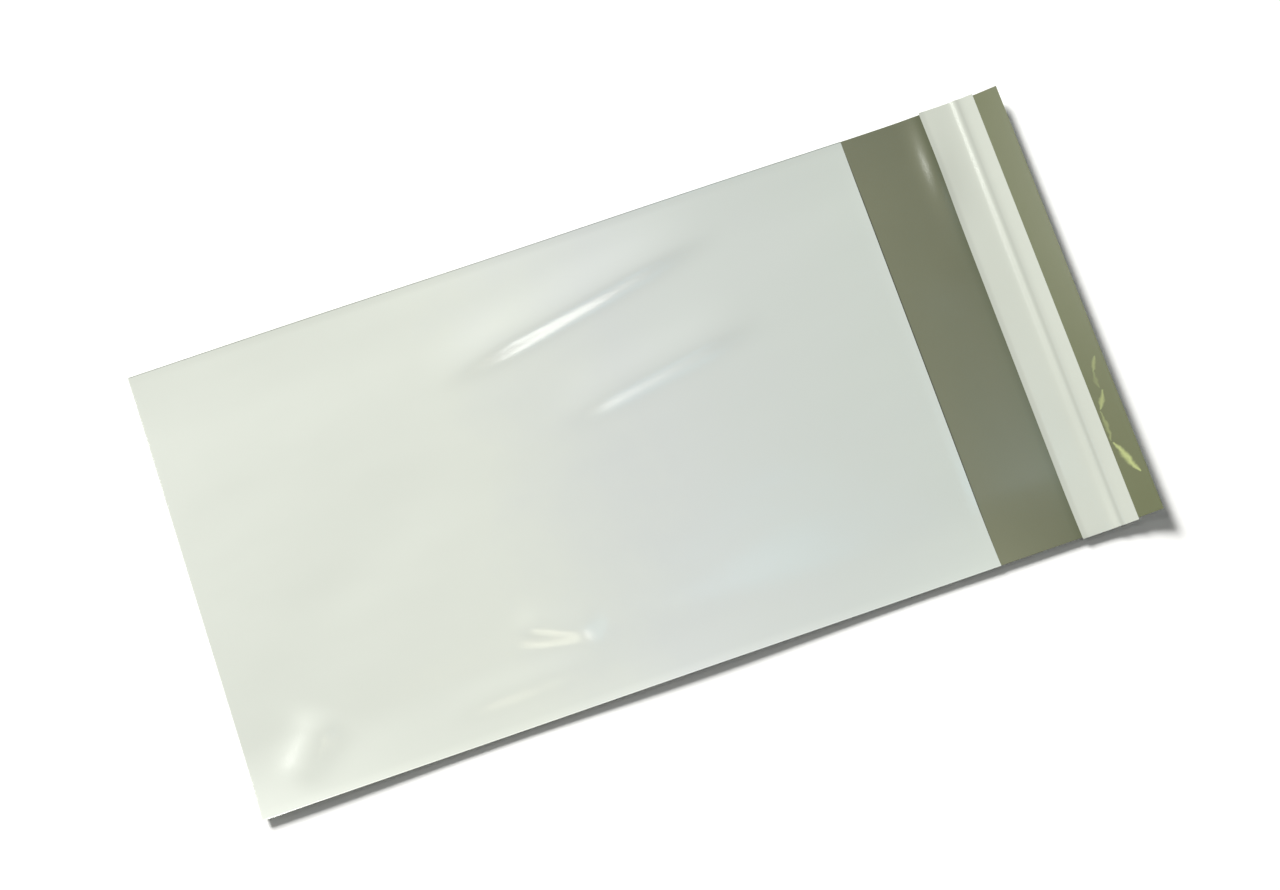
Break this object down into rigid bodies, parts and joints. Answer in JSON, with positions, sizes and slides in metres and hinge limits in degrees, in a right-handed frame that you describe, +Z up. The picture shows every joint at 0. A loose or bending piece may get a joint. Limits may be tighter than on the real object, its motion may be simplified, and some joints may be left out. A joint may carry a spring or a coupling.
{
  "type": "poly mailer bag",
  "caption": "Empty white film mailing bag lying flat on its back, grey inside, with an open flap that carries an adhesive band under a release liner.",
  "frame": {"origin": "on the surface the bag lies on, under the middle of its whole length and width", "axes": "+Y along the bag from the bottom fold to the flap's lip, +X across it, +Z up out of the front panel"},
  "size_m": [0.1532, 0.305, 0.008],
  "materials": {
    "film": "co-extruded polyethylene film, white and semi-gloss outside, olive grey inside",
    "adhesive": "clear to pale amber hot-melt, glossy",
    "liner": "milky release film, glossy"
  },
  "bodies": {
    "root": {"film_bag": "film", "adhesive_strip": "adhesive", "release_liner": "liner"}
  },
  "joints": []
}
